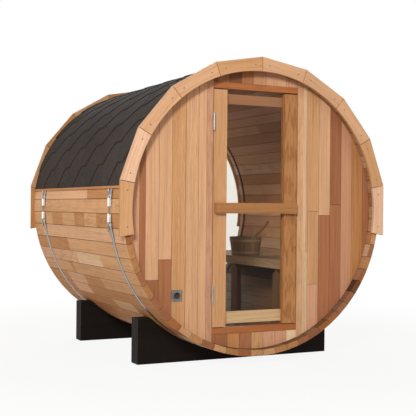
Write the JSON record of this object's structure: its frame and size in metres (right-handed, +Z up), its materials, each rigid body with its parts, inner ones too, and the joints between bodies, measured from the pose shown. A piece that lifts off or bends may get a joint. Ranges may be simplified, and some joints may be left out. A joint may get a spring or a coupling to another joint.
{
  "type": "barrel sauna",
  "caption": "Round cedar barrel sauna on two black cradles, with shingled roof, steel bands, hinged glass door, round rear window, bench, bucket and ladle.",
  "frame": {"origin": "on the ground, under the middle of the barrel", "axes": "+Z up, the barrel's axis along Y, the door faces -Y, +X to the right of someone facing the door"},
  "size_m": [1.8474, 1.874, 1.8929],
  "materials": {
    "cedar_staves": "oiled cedar staves, mixed tones",
    "cedar_boards": "clear cedar boards, mixed tones",
    "red_cedar": "darker red cedar",
    "fascia_cedar": "pale cedar",
    "door_cedar": "cedar",
    "tinted_glass": "slightly bronze tinted",
    "clear_glass": "clear",
    "seal": "matt black",
    "steel": "stainless, satin",
    "shingles": "mineral faced bitumen shingles",
    "black_timber": "black paint",
    "bench_wood": "pale smooth softwood",
    "bucket_wood": "oiled softwood"
  },
  "bodies": {
    "cabin": {"wall_segment_01": "cedar_staves", "wall_segment_02": "cedar_staves", "wall_segment_03": "cedar_staves", "wall_segment_04": "cedar_staves", "wall_segment_05": "cedar_staves", "wall_segment_06": "cedar_staves", "wall_segment_07": "cedar_staves", "wall_segment_08": "cedar_staves", "front_wall_left": "cedar_boards", "front_wall_right": "cedar_boards", "front_wall_top": "cedar_boards", "front_wall_bottom": "cedar_boards", "door_jamb_left": "cedar_boards", "door_jamb_right": "cedar_boards", "door_head": "red_cedar", "door_sill": "red_cedar", "hinge_frame_leaves": "steel", "vent_plate": "steel", "rear_window_seal": "seal", "rear_window": "clear_glass", "front_fascia": "fascia_cedar", "rear_fascia": "fascia_cedar", "front_band": "steel", "rear_band": "steel", "tension_rods": "steel", "roof_shingles": "shingles", "eave_trims": "fascia_cedar", "front_cradle": "black_timber", "rear_cradle": "black_timber", "bench_legs": "bench_wood", "bench_bearers": "bench_wood", "bench_front_rail": "bench_wood", "bench_slats": "bench_wood", "bucket": "bucket_wood", "ladle": "bucket_wood"},
    "door": {"door_stile_left": "door_cedar", "door_stile_right": "door_cedar", "door_glass": "tinted_glass", "door_rails": "door_cedar", "door_handle": "door_cedar", "hinge_door_leaves": "steel"}
  },
  "joints": [
    {"name": "door_hinge", "type": "hinge", "parent": "cabin", "child": "door", "pos_m": [-0.2985, -0.8725, 0.955], "axis": [0, 0, -1], "range_deg": [0, 110]}
  ]
}
